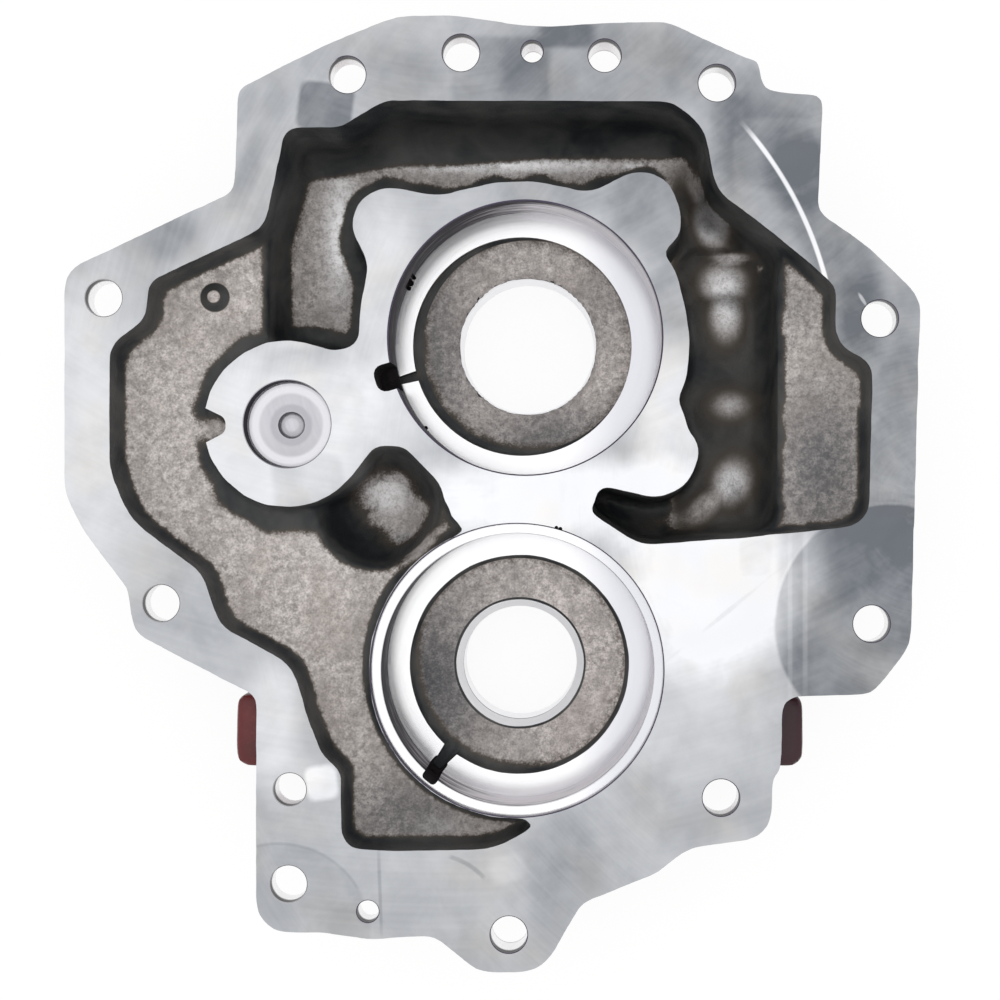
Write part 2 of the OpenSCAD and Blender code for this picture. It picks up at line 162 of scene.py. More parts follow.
# Metal in two sharp corners: by the web between the bosses, and at the tip of the right trough
for x, y, r, low in ((-21.3, -66.3, 3.6, -18), (-25.5, -64.0, 2.2, -18), (22.4, -58.6, 3.6, -44)):
    plug(fill, (x * MM, y * MM), [(0, low), (r, low), (r, stock), (0, stock)], 24)
closed(fill)
filler = as_object(fill, "filler")
blank.from_mesh(filler.data)
bpy.data.objects.remove(filler)
casting = as_object(blank, "casting")

# One skin over all of it, softened as sand does, with its waves
skin = casting.modifiers.new("mould", "REMESH")
skin.mode = "VOXEL"
skin.voxel_size = grain_size * MM
modified(casting)

cast = bmesh.new()
cast.from_mesh(casting.data)
for step in range(3):
    bmesh.ops.smooth_vert(cast, verts=cast.verts, factor=0.5, use_axis_x=True, use_axis_y=True,
                          use_axis_z=True)
cast.normal_update()
for v in cast.verts:
    p = v.co / MM
    wave = noise.noise(p / 13) * 0.22 + noise.noise(p / 4.3) * 0.11
    v.co += v.normal * (wave - 0.16) * MM
    # A low step across the floor of the right trough
    if p.z < -30 and 62 < p.x < 88:
        ledge = 1.4 * math.exp(-((p.y - 35.5) / 1.9) ** 2) - 1.0 * math.exp(-((p.y - 39.6) / 1.7) ** 2)
        v.co.z += ledge * min(1, (p.x - 62) / 5, (88 - p.x) / 5) * MM
    if -46 < p.z < 4:
        near = min(1, (p.z + 46) / 6)
        # The boss of the upper seat draws in on its right, most at two necks
        if abs(p.y) < 60:
            neck = 3.3 / (1 + math.exp((abs(p.y + 1) - 35) / 1.6))
            neck += 2.9 * math.exp(-((p.y - 31.2) / 5.2) ** 2) + 1.8 * math.exp(-((p.y + 22.8) / 5) ** 2)
            side = min(1, max(0, (p.x - 38) / 18)) * min(1, max(0, (82 - p.x) / 16))
            v.co.x -= neck * near * smooth(side) * MM
        for x, y, turn, length, width, go_x, go_y in moved_edges:
            c, s = math.cos(math.radians(turn)), math.sin(math.radians(turn))
            along, across = (p.x - x) * c + (p.y - y) * s, (p.y - y) * c - (p.x - x) * s
            pull = math.exp(-(along / length) ** 4 - (across / width) ** 2) * near * MM
            v.co.x += go_x * pull
            v.co.y += go_y * pull
    # A round pip on the left floor
    pip = 1 - (math.hypot(p.x + 116.5, p.y - 16) - 1.8) / 3.2
    if pip > 0 and -18 < p.z < -8:
        v.co.z = max(v.co.z, (4.0 * smooth(pip) - 15.2) * MM)
for f in cast.faces:
    f.material_index = SAND
cast.to_mesh(casting.data)
cast.free()


# Machining: the mating face and the rear boss faces are milled flat, the bearing seats, their
# shoulders, the counterbore and the shaft holes are bored, the bolt holes are drilled and spot
# faced from behind. Each cutter below takes off what the tool takes off.
def cutter(name, bm, wall, face=FACED):
    """A tool that leaves one finish on upright walls and another on faces that lie flat."""
    closed(bm)
    for f in bm.faces:
        f.material_index = wall if abs(f.normal.z) < 0.7 else face
    tool = as_object(bm, name)
    for slot in finishes:
        tool.data.materials.append(None)
    return tool


def cut(body, tool):
    work = body.modifiers.new(tool.name, "BOOLEAN")
    work.operation = "DIFFERENCE"
    work.object = tool
    work.solver = "MANIFOLD"
    modified(body)
    bpy.data.objects.remove(tool)


for slot in finishes:
    casting.data.materials.append(None)

milling = bmesh.new()
for low, high in ((0, 30), (rear_face - 30, rear_face)):
    made = bmesh.ops.create_cube(milling, size=1)
    bmesh.ops.scale(milling, verts=made["verts"], vec=(0.5, 0.5, (high - low) * MM))
    bmesh.ops.translate(milling, verts=made["verts"], vec=(0, -0.05, (high + low) / 2 * MM))
cut(casting, cutter("milling", milling, MILLED, MILLED))

boring = bmesh.new()
turned(boring, upper_shaft, [(0, 2), (seat_r + 0.5, 2), (seat_r + 0.5, 0), (seat_r, -0.5),
                             (seat_r, seat_floor), (30, seat_floor), (30, -20), (0, -20)], 128)
turned(boring, lower_shaft, [(0, 2), (ring_r + 0.4, 2), (ring_r + 0.4, 0), (ring_r, -0.4),
                             (ring_r, ring_floor), (seat_r + 0.3, ring_floor),
                             (seat_r, ring_floor - 0.3), (seat_r, seat_floor), (30, seat_floor),
                             (30, -20), (0, -20)], 128)
seal_recess = [(0, rear_face - 2), (seal_r + 0.6, rear_face - 2), (seal_r + 0.6, rear_face),
               (seal_r, rear_face + 0.6), (seal_r, seal_floor)]
turned(boring, upper_shaft, seal_recess + [(0, seal_floor)], 96)
turned(boring, lower_shaft, seal_recess + [(lower_hole_r, seal_floor), (lower_hole_r, -34.8),
                                           (lower_hole_r + 2.8, -32), (lower_hole_r + 2.8, -28),
                                           (0, -28)], 96)
turned(boring, pilot_shaft, [(0, 2), (pilot_r + 0.3, 2), (pilot_r + 0.3, 0), (pilot_r, -0.3),
                             (pilot_r, -8.2), (pilot_r - 0.6, -8.8), (5, -10.4), (4.2, -9.9),
                             (2.4, -9.2), (0, -9)], 96)
cut(casting, cutter("boring", boring, BORED))

# The core of the upper recess sat a little off its place
core = bmesh.new()
turned(core, upper_shaft + Vector((-1.9, -0.9, 0)) * MM,
       [(0, -20), (recess_r, -20), (recess_r, recess_floor + 1.1), (recess_r - 1.1, recess_floor),
        (0, recess_floor)], 96)
cut(casting, cutter("core_shift", core, SAND, SAND))

drilling = bmesh.new()
for x, y, r, back in flange_holes:
    turned(drilling, Vector((x, y, 0)) * MM,
           [(0, 2), (r + 0.3, 2), (r + 0.3, 0), (r, -0.3), (r, back + 0.4), (12, back + 0.4),
            (12, rear_face - 2), (0, rear_face - 2)], 48)
for x, y in lug_holes:
    turned(drilling, Vector((x, y, 0)) * MM,
           [(0, lug_back - 2), (tapped_r + 1.2, lug_back - 2), (tapped_r + 1.2, lug_back),
            (tapped_r, lug_back + 1.2), (tapped_r, lug_back + 22), (0, lug_back + 24.5)], 48)
cut(casting, cutter("drilling", drilling, DRILLED))


def milled_slot(bm, shaft, angle, x0, x1, half, low, high, corner, flare=1.0):
    """A round-cornered slot that points away from the shaft axis at an angle, sizes in mm."""
    made = bmesh.ops.create_cube(bm, size=1)
    verts = made["verts"]
    bmesh.ops.scale(bm, verts=[v for v in verts if v.co.x < 0], vec=(1, flare, 1))
    bmesh.ops.scale(bm, verts=verts, vec=Vector((x1 - x0, 2 * half, high - low)) * MM)
    bmesh.ops.translate(bm, verts=verts, vec=Vector(((x0 + x1) / 2, 0, (high + low) / 2)) * MM)
    upright = [e for e in set(e for v in verts for e in v.link_edges)
               if abs((e.verts[0].co - e.verts[1].co).z) > 1e-4]
    rounded = bmesh.ops.bevel(bm, geom=upright, offset=corner * MM, segments=4, affect="EDGES",
                              profile=0.5, material=-1)
    piece = [v for v in rounded["verts"] if v.is_valid]
    bmesh.ops.rotate(bm, verts=piece, cent=(0, 0, 0),
                     matrix=Matrix.Rotation(math.radians(angle), 3, "Z"))
    bmesh.ops.translate(bm, verts=piece, vec=shaft)


# The oil notches beside both seats, and small nicks from handling; the three pits at the foot of the upper
# seat's wall on the left are painted shade, dark holes where that wall lies in shade
pockets = bmesh.new()
milled_slot(pockets, upper_shaft, 196, 44, 57.0, 5.0, -22, 2, 3.6)
milled_slot(pockets, lower_shaft, 231, 46, 52.6, 3.0, -27, 2, 1.6)
for x, y, r, low, high in ((11.4, -69.4, 0.7, -0.9, 2), (12.8, -69.9, 0.8, -0.9, 2),
                           (-45.0, 21.2, 0.9, -27.2, -18), (-44.2, 23.1, 1.2, -27.4, -18),
                           (-43.0, 25.2, 0.8, -27.1, -18), (-38.5, -31.8, 0.8, -27.1, -20)):
    turned(pockets, Vector((x, y, 0)) * MM, [(0, high), (r, high), (r, low), (0, low - 0.4)], 12)
cut(casting, cutter("pocket_milling", pockets, OILED_AND_SHADED, OILED_AND_SHADED))
notch = bmesh.new()
milled_slot(notch, pilot_shaft, 181, 22.4, 31.5, 7.2, -13.6, 2, 1.9, 0.36)
cut(casting, cutter("notch_filing", notch, SAND, SAND))
slots = bmesh.new()
milled_slot(slots, upper_shaft, 196, 38.2, 50.6, 1.5, -31, -25, 0.6, 1.5)
milled_slot(slots, lower_shaft, 231, 36.8, 50.6, 1.8, -31, -25, 0.7, 2.1)
cut(casting, cutter("slot_milling", slots, OILED_AND_SHADED, SAND))


# What the sand, the oil and the paint brush left, with painted light and shade: the cast skin inside the
# pocket stays bare, all that lies outside the mating face is painted. Steep walls, corners and the feet of
# the bosses are darkened, partly black oil and partly painted shade and shadow; some open floors are
# lighter, rubbed clean in places and painted highlight in others, and the paint is thin on the ridges.
shape = bmesh.new()
shape.from_mesh(casting.data)
shape.faces.ensure_lookup_table()
rough = [f for f in shape.faces if f.material_index == SAND]
# The outside is the cast skin that can be reached from its leftmost face
first = min(rough, key=lambda f: f.calc_center_median().x)
outside, reached = {first}, [first]
while reached:
    for e in reached.pop().edges:
        for f in e.link_faces:
            if f.material_index == SAND and f not in outside:
                outside.add(f)
                reached.append(f)
for f in outside:
    f.material_index = PAINTED
shell = list({v.index for f in outside for v in f.verts})
for e in shape.edges:
    sides = e.link_faces
    e.smooth = not (len(sides) == 2 and (sides[0].material_index != sides[1].material_index
                                         or e.calc_face_angle(0) > math.radians(35)))
for f in shape.faces:
    f.smooth = True
shape.to_mesh(casting.data)
shape.free()

skin_mesh = casting.data
count = len(skin_mesh.vertices)
place = np.zeros(count * 3, np.float32)
skin_mesh.vertices.foreach_get("co", place)
place = place.reshape(-1, 3) / MM
X, Y, Z = place.T
lean = np.zeros(count * 3, np.float32)
skin_mesh.vertex_normals.foreach_get("vector", lean)
lean = lean.reshape(-1, 3)
upward = lean[:, 2]
pairs = np.zeros(len(skin_mesh.edges) * 2, np.int32)
skin_mesh.edges.foreach_get("vertices", pairs)
pairs = pairs.reshape(-1, 2)
joined = np.maximum(np.bincount(pairs.ravel(), minlength=count), 1)


def spread(values, times):
    """Each vertex takes the mean of itself and its neighbours, so many times."""
    for turn in range(times):
        sums = (np.bincount(pairs[:, 0], weights=values[pairs[:, 1]], minlength=count)
                + np.bincount(pairs[:, 1], weights=values[pairs[:, 0]], minlength=count))
        values = 0.5 * values + 0.5 * sums / joined
    return values


def step_up(values, low, high):
    t = np.clip((values - low) / (high - low), 0, 1)
    return t * t * (3 - 2 * t)


def spot(x, y, length, width, angle=0.0):
    """A soft oval patch on the casting, 1 in its middle; sizes in mm."""
    c, s = math.cos(math.radians(angle)), math.sin(math.radians(angle))
    dx, dy = X - x, Y - y
    u, v = (dx * c + dy * s) / length, (dy * c - dx * s) / width
    return np.exp(-2 * (u * u + v * v))


# A coarse height map of the front, blurred: what lies well below it is sunk. Steep walls and sunk places
# are darkened, oil with painted shade.
cell = 2.0
columns = ((X + 175) / cell).astype(int)
rows = ((Y + 240) / cell).astype(int)
front = (Z < -0.5) & (upward > 0.2)
height = np.zeros((185, 165))
hits = np.zeros((185, 165))
np.add.at(height, (rows[front], columns[front]), Z[front])
np.add.at(hits, (rows[front], columns[front]), 1)
height = np.where(hits > 0, height / np.maximum(hits, 1), 0.0)
around = height.copy()
for turn in range(14):
    around = (around + np.roll(around, 1, 0) + np.roll(around, -1, 0) + np.roll(around, 1, 1)
              + np.roll(around, -1, 1)) / 5
sunk = around[rows, columns] - Z
wall = 1 - step_up(spread(np.abs(upward), 2), 0.30, 0.92)
oil = np.clip(0.8 * wall + 0.12 * step_up(sunk, 1.0, 8.0), 0, 1)


def gap_to(chosen):
    """Distance of every vertex, seen from above, to the nearest of the chosen ones, in mm."""
    spots = np.unique(np.round(place[chosen, :2]), axis=0)
    tree = kdtree.KDTree(len(spots))
    for k, (x, y) in enumerate(spots):
        tree.insert((x, y, 0), k)
    tree.balance()
    return np.array([tree.find((x, y, 0))[2] for x, y in place[:, :2]])


deep = step_up(-Z, 20, 30)
shallow = (1 - deep) * (Z > -24)
from_upper, from_lower, from_pilot = (np.hypot(X - x, Y - y) for x, y in (upper_at, lower_at, pilot_at))
reach = np.minimum(from_upper, from_lower)
in_recess = reach < recess_r + 0.5
bosses = ((from_upper < 82) & (Y > -50)) | (from_pilot < 31)
top = (Z > -0.4) & (upward > 0.2)
sand = Z < -8
sand[shell] = False

# Painted shadow with some oil at the foot of the bosses, wider in three places and taken off in one
foot = gap_to(bosses & top) + 1.2 * spread(np.sin(X * 0.31) * np.cos(Y * 0.23), 1)
foot = foot - 2.5 * step_up(-Y, 50, 58) - 3.0 * spot(-62, 60, 22, 17) - 2.0 * spot(-95, -58, 14, 9)
kept = (1 - deep * step_up(X, 50, 57)) * (1 - spot(-114, -33.5, 15, 8.5))
oil = np.maximum(oil, kept * (1 - step_up(foot, 3.0 + 3.4 * deep, 10.5 + 1.8 * deep)))

# Darkening under the rim of the pocket, along the edges of the troughs and at the foot of their banks: oil
# and painted shade
rim = gap_to(~bosses & top & (from_lower > 56))
oil = np.maximum(oil, shallow * (1 - step_up(rim, 0.2, 4.8)))
ledge = gap_to(sand & (Z < -18.5) & (upward > 0.06) & (reach > 44))
oil = np.maximum(oil, shallow * (1 - step_up(ledge, -0.5, 5.5)))
bank = gap_to(sand & (Z > -17.5) & (upward > 0.8)) + 2.0 * spot(-80, 45, 14, 40)
oil = np.maximum(oil, 0.9 * deep * (1 - step_up(bank, 4.5, 9.0)) * (Z > -50))
# Painted shade with oil down the top wall of the deep trough, and painted shade on the lower side of the
# scoop
sag = 2.6 * step_up(X, -35, 10) - 5.0 * step_up(-X, 45, 80)
top_wall = deep * step_up(Y - sag, 67.5, 74.5) * step_up(66 - X, 0, 12)
scoop_side = spot(-63, -72, 17, 10, -18) + 0.8 * spot(-72, -58, 7, 9)

# The recesses behind the seats are darker towards their outer edge, most on the left and below: painted
# shade
annulus = in_recess & (Z < -28) & (Z > -38)
shade = step_up(-X - (Y - np.where(Y > -60, upper_at[1], lower_at[1])), 15, 55)
oil = np.where(annulus, (0.4 + 0.45 * shade) * step_up(reach, 34, 41.5), oil)
oil = np.clip(oil + top_wall + 0.9 * scoop_side * step_up(-Z, 13, 18) + spot(-26, -67, 6, 4), 0, 1)

# The right trough is dark all over with oil, but for painted highlights where its swells catch the light
trough = deep * step_up(X, 50, 62) * step_up(-Y, -80, -58) * step_up(reach, 50, 58)
glint = np.zeros(count)
for x, y, length, width, angle, much in (
        (70.5, 47, 18, 11, -70, 1.0), (65, 60, 16, 6, -68, 0.8), (78, 34.4, 14, 3.2, 0, 1.0),
        (75.5, 25, 17, 14, 0, 1.0), (76.5, 12, 12, 19, 0, 1.0), (78.3, -22.5, 17, 12, 0, 0.75),
        (79, -52, 18, 14, 70, 1.0), (68, -62, 18, 9, 40, 0.9), (52, -67.5, 16, 4, 8, 0.7),
        (89.5, 30.6, 2.2, 1.6, 0, 1.0), (-55, -57, 20, 16, 0, 1.0)):
    glint = np.maximum(glint, much * spot(x, y, length, width, angle))
trough = trough * (1 - glint)
oil = oil * (1 - 0.92 * glint * deep)
# Painted shade round the lower boss, and oil with painted shade low in the right trough
oil = np.maximum(oil, (1 - step_up(from_lower, 56.0, 60.0)) * sand * (reach > 50))
oil = oil * (1 - 0.9 * spot(-39.5, -77, 17, 5.5, 43) * (1 - deep))
oil = np.maximum(oil, 0.85 * deep * step_up(X, 14, 22) * step_up(60 - X, 0, 8)
                 * (Y < -50) * (reach > 54) * (1 - 0.5 * glint))
oil[(reach < 26.5) & (Z < -34) & (Y > -60)] = 0

# Floors that are lighter: rubbed bright in places, and painted highlight on the swells of the right trough
# and in the scoop
rubbed_and_highlit = np.zeros(count)
for x, y, length, width, much in (
        (-10, 71, 78, 5, 1.0), (-73, 45, 11, 44, 1.0), (-55, -57, 17, 14, 0.85),
        (42, 70.5, 14, 3.5, 0.9), (-33, -181, 12, 5, 0.45), (-47, -74, 10, 4, 0.8),
        (-72, -76, 16, 12, 0.3), (70, 48, 16, 18, 1.0), (76.5, 20, 17, 26, 1.0),
        (78, -53, 14, 14, 1.0), (78, -22, 12, 9, 0.8)):
    rubbed_and_highlit = np.maximum(rubbed_and_highlit, much * spot(x, y, length, width))

# The rough wall of the upper shaft hole is as bright as a bored one
for p in skin_mesh.polygons:
    if p.center.z < -0.034 and p.center.xy.length < 0.0265 and abs(p.normal.z) < 0.6:
        p.material_index = BORED

# Floors that are greyer than the rest, first those of the recesses, then those of the pocket; on the
# recesses this is painted shade, most on their left and lower sides
dim = np.zeros(count)
for within, patches in (
        (in_recess, ((-40, -130, 44, 52, 0.95), (-44, -6, 36, 60, 0.8), (10, -40, 44, 26, 0.8),
                     (30, 20, 24, 30, 0.35))),
        (~in_recess, ((-45, -176, 34, 22, 0.75), (110, -46, 30, 46, 0.85), (98, 12, 20, 24, 0.35),
                      (0, -158, 20, 14, 0.3)))):
    for x, y, length, width, much in patches:
        dim = np.maximum(dim, much * spot(x, y, length, width) * within)

# Ridges of the outside, where the paint wears through
curve = spread(np.einsum("ij,ij->i", place - np.stack([spread(place[:, k], 1) for k in range(3)], 1),
                         lean), 2)
ridge = step_up(curve, 0.02, 0.16)
for name, values in (("oil", oil), ("trough", trough), ("rubbed_and_highlit", rubbed_and_highlit), ("dim", dim),
                     ("ridge", ridge)):
    layer = skin_mesh.attributes.new(name, "FLOAT", "POINT")
    layer.data.foreach_set("value", values.astype(np.float32))


# The finishes of the casting. Milled iron is bright and carries the sweeps of a large face mill,
# bored iron the fine rings of the boring bar; the sand-cast skin is a dull brown grey, and the
# outside wears one coat of red machine enamel.
def add(tree, kind, wires=None, **settings):
    made = tree.nodes.new("ShaderNode" + kind)
    for name, value in settings.items():
        setattr(made, name, value)
    for socket, value in (wires or {}).items():
        if isinstance(value, bpy.types.NodeSocket):
            tree.links.new(value, made.inputs[socket])
        else:
            made.inputs[socket].default_value = value
    return made


def maths(tree, operation, a, b=0.0, c=0.0, clamp=False):
    return add(tree, "Math", {0: a, 1: b, 2: c}, operation=operation, use_clamp=clamp).outputs[0]


def between(tree, value, low, high, start=0.0, end=1.0):
    """Turns the range low to high of a value smoothly into start to end."""
    return add(tree, "MapRange", {"Value": value, "From Min": low, "From Max": high,
                                  "To Min": start, "To Max": end},
               interpolation_type="SMOOTHSTEP").outputs[0]


def tint(tree, share, a, b, blend="MIX"):
    return add(tree, "Mix", {0: share, 6: a, 7: b}, data_type="RGBA", blend_type=blend).outputs[2]


def clouds(tree, place, scale, detail=2.0, rough=0.5, distort=0.0):
    return add(tree, "TexNoise", {"Vector": place, "Scale": scale, "Detail": detail,
                                  "Roughness": rough, "Distortion": distort}).outputs[0]


def group_of(name, inputs, outputs):
    tree = bpy.data.node_groups.new(name, "ShaderNodeTree")
    for socket, kind, value in inputs:
        made = tree.interface.new_socket(name=socket, in_out="INPUT", socket_type="NodeSocket" + kind)
        made.default_value = value
    for socket, kind in outputs:
        tree.interface.new_socket(name=socket, in_out="OUTPUT", socket_type="NodeSocket" + kind)
    return tree, tree.nodes.new("NodeGroupInput").outputs, tree.nodes.new("NodeGroupOutput").inputs


def placed(tree, group, **values):
    made = add(tree, "Group")
    made.node_tree = group
    for name, value in values.items():
        socket = made.inputs[name.replace("_", " ")]
        if isinstance(value, bpy.types.NodeSocket):
            tree.links.new(value, socket)
        else:
            socket.default_value = value
    return made.outputs


def finish(name, metallic, **sockets):
    """A material with its shader, and the object's own coordinates in millimetres."""
    material = bpy.data.materials.new(name)
    material.use_nodes = True
    tree = material.node_tree
    tree.nodes.clear()
    shader = add(tree, "BsdfPrincipled")
    shader.inputs["Metallic"].default_value = metallic
    for socket, value in sockets.items():
        shader.inputs[socket.replace("_", " ")].default_value = value
    tree.links.new(shader.outputs[0], add(tree, "OutputMaterial").inputs[0])
    place = add(tree, "Mapping", {"Vector": add(tree, "TexCoord").outputs["Object"],
                                  "Scale": (1000, 1000, 1000)}).outputs[0]
    return material, tree, shader.inputs, place


# Sweeps of a turning cutter: streaks that run round a centre, with fine tool lines in them
sweeps, given, gives = group_of(
    "cutter_sweeps", [("Place", "Vector", (0, 0, 0)), ("Centre", "Vector", (0, 0, 0)),
                      ("Across", "Float", 0.1), ("Along", "Float", 0.02), ("Pitch", "Float", 1.2)],
    [("Streaks", "Float"), ("Lines", "Float")])
off = add(sweeps, "VectorMath", {0: given["Place"], 1: given["Centre"]},
          operation="SUBTRACT").outputs[0]
split = add(sweeps, "SeparateXYZ", {0: off}).outputs
flat = add(sweeps, "CombineXYZ", {0: split[0], 1: split[1]}).outputs[0]
radius = add(sweeps, "VectorMath", {0: flat}, operation="LENGTH").outputs["Value"]
bearing = maths(sweeps, "ARCTAN2", split[1], split[0])
swept = maths(sweeps, "MULTIPLY", maths(sweeps, "MULTIPLY", bearing, 100.0), given["Along"])
round_it = add(sweeps, "CombineXYZ", {0: maths(sweeps, "MULTIPLY", radius, given["Across"]), 1: swept,
                                      2: maths(sweeps, "MULTIPLY", split[2], given["Across"])}).outputs[0]
sweeps.links.new(clouds(sweeps, round_it, 1.0, 3.0, 0.6), gives["Streaks"])
tool_line = add(sweeps, "CombineXYZ", {0: maths(sweeps, "DIVIDE", radius, given["Pitch"]),
                                       1: maths(sweeps, "MULTIPLY", bearing, 3.0),
                                       2: maths(sweeps, "DIVIDE", split[2], given["Pitch"])}).outputs[0]
sweeps.links.new(clouds(sweeps, tool_line, 1.0, 1.0, 0.5), gives["Lines"])

# Mottle of a sand-cast skin: grains in two sizes and larger clouds of rust brown
mottle, given, gives = group_of("sand_mottle", [("Place", "Vector", (0, 0, 0)), ("Grain", "Float", 1.0)],
                                [("Grains", "Float"), ("Clouds", "Float"), ("Relief", "Float")])
scaled = add(mottle, "VectorMath", {0: given["Place"], "Scale": given["Grain"]},
             operation="SCALE").outputs[0]
coarse = clouds(mottle, scaled, 0.42, 4.0, 0.65)
fine = clouds(mottle, scaled, 1.3, 2.0, 0.6)
mottle.links.new(maths(mottle, "ADD", maths(mottle, "MULTIPLY", coarse, 0.6),
                       maths(mottle, "MULTIPLY", fine, 0.4)), gives["Grains"])
mottle.links.new(clouds(mottle, given["Place"], 0.045, 3.0, 0.6, 0.4), gives["Clouds"])
mottle.links.new(maths(mottle, "ADD", maths(mottle, "MULTIPLY", coarse, 0.7),
                       maths(mottle, "MULTIPLY", fine, 0.5)), gives["Relief"])

# A patch of the face with a soft edge, oval at Power 2 and nearly square at Power 8
patch, given, gives = group_of(
    "tool_patch", [("Place", "Vector", (0, 0, 0)), ("Centre", "Vector", (0, 0, 0)),
                   ("Half", "Vector", (1, 1, 1)), ("Turn", "Float", 0.0), ("Power", "Float", 2.0),
                   ("Soft", "Float", 0.3), ("Wander", "Float", 0.0)], [("Mask", "Float")])
off = add(patch, "VectorMath", {0: given["Place"], 1: given["Centre"]}, operation="SUBTRACT").outputs[0]
off = add(patch, "VectorRotate", {"Vector": off, "Angle": given["Turn"]}, rotation_type="Z_AXIS",
          invert=True).outputs[0]
off = add(patch, "VectorMath", {0: off, 1: given["Half"]}, operation="DIVIDE").outputs[0]
split = add(patch, "SeparateXYZ", {0: off}).outputs
powers = [maths(patch, "POWER", maths(patch, "ABSOLUTE", split[k]), given["Power"]) for k in (0, 1)]
reach = maths(patch, "POWER", maths(patch, "ADD", *powers), maths(patch, "DIVIDE", 1.0, given["Power"]))
reach = maths(patch, "MULTIPLY_ADD", given["Wander"], given["Soft"], reach)
patch.links.new(between(patch, reach, maths(patch, "ADD", 1.0, given["Soft"]),
                        maths(patch, "SUBTRACT", 1.0, given["Soft"])), gives["Mask"])

# A thin mark that the edge of a cutter leaves along a circle
arc, given, gives = group_of(
    "tool_arc", [("Place", "Vector", (0, 0, 0)), ("Centre", "Vector", (0, 0, 0)), ("Radius", "Float", 50.0),
                 ("Width", "Float", 1.0), ("First", "Float", 0.0), ("Last", "Float", 1.0),
                 ("Fade", "Float", 0.1)], [("Mask", "Float")])
off = add(arc, "VectorMath", {0: given["Place"], 1: given["Centre"]}, operation="SUBTRACT").outputs[0]
split = add(arc, "SeparateXYZ", {0: off}).outputs
flat = add(arc, "CombineXYZ", {0: split[0], 1: split[1]}).outputs[0]
radius = add(arc, "VectorMath", {0: flat}, operation="LENGTH").outputs["Value"]
bearing = maths(arc, "ARCTAN2", split[1], split[0])
offset = maths(arc, "ABSOLUTE", maths(arc, "SUBTRACT", radius, given["Radius"]))
mark = between(arc, offset, given["Width"], maths(arc, "MULTIPLY", given["Width"], 0.3))
for end, inwards in (("First", "ADD"), ("Last", "SUBTRACT")):
    inner = maths(arc, inwards, given[end], given["Fade"])
    mark = maths(arc, "MULTIPLY", mark, between(arc, bearing, given[end], inner))
arc.links.new(mark, gives["Mask"])


def full_ring(tree, spot_at, centre, radius, width):
    return placed(tree, arc, Place=spot_at, Centre=(*centre, 0), Radius=radius, Width=width, First=-4.0,
                  Last=4.0)["Mask"]


# Milled mating face
milled, tree, shader, spot_at = finish("milled_iron", 0.85)
wide = placed(tree, sweeps, Place=spot_at, Centre=(-30, 190, 0), Across=0.05, Along=0.035, Pitch=1.6)
tight = placed(tree, sweeps, Place=spot_at, Centre=(150, -60, 0), Across=0.06, Along=0.03, Pitch=1.1)
area = between(tree, clouds(tree, spot_at, 0.011, 2.0, 0.5, 0.6), 0.46, 0.54)
streaks = add(tree, "Mix", {0: area, 2: wide["Streaks"], 3: tight["Streaks"]}).outputs[0]
lines = add(tree, "Mix", {0: area, 2: wide["Lines"], 3: tight["Lines"]}).outputs[0]
blotch = clouds(tree, spot_at, 0.055, 4.0, 0.6, 0.3)
wander = maths(tree, "SUBTRACT", clouds(tree, spot_at, 0.06, 3.0, 0.6), 0.5)
tone = maths(tree, "ADD", between(tree, streaks, 0.3, 0.7, -0.06, 0.06),
             between(tree, blotch, 0.3, 0.7, -0.06, 0.06))
tone = maths(tree, "ADD", tone, between(tree, lines, 0.2, 0.8, -0.02, 0.02))
tone = maths(tree, "ADD", tone, 0.45)
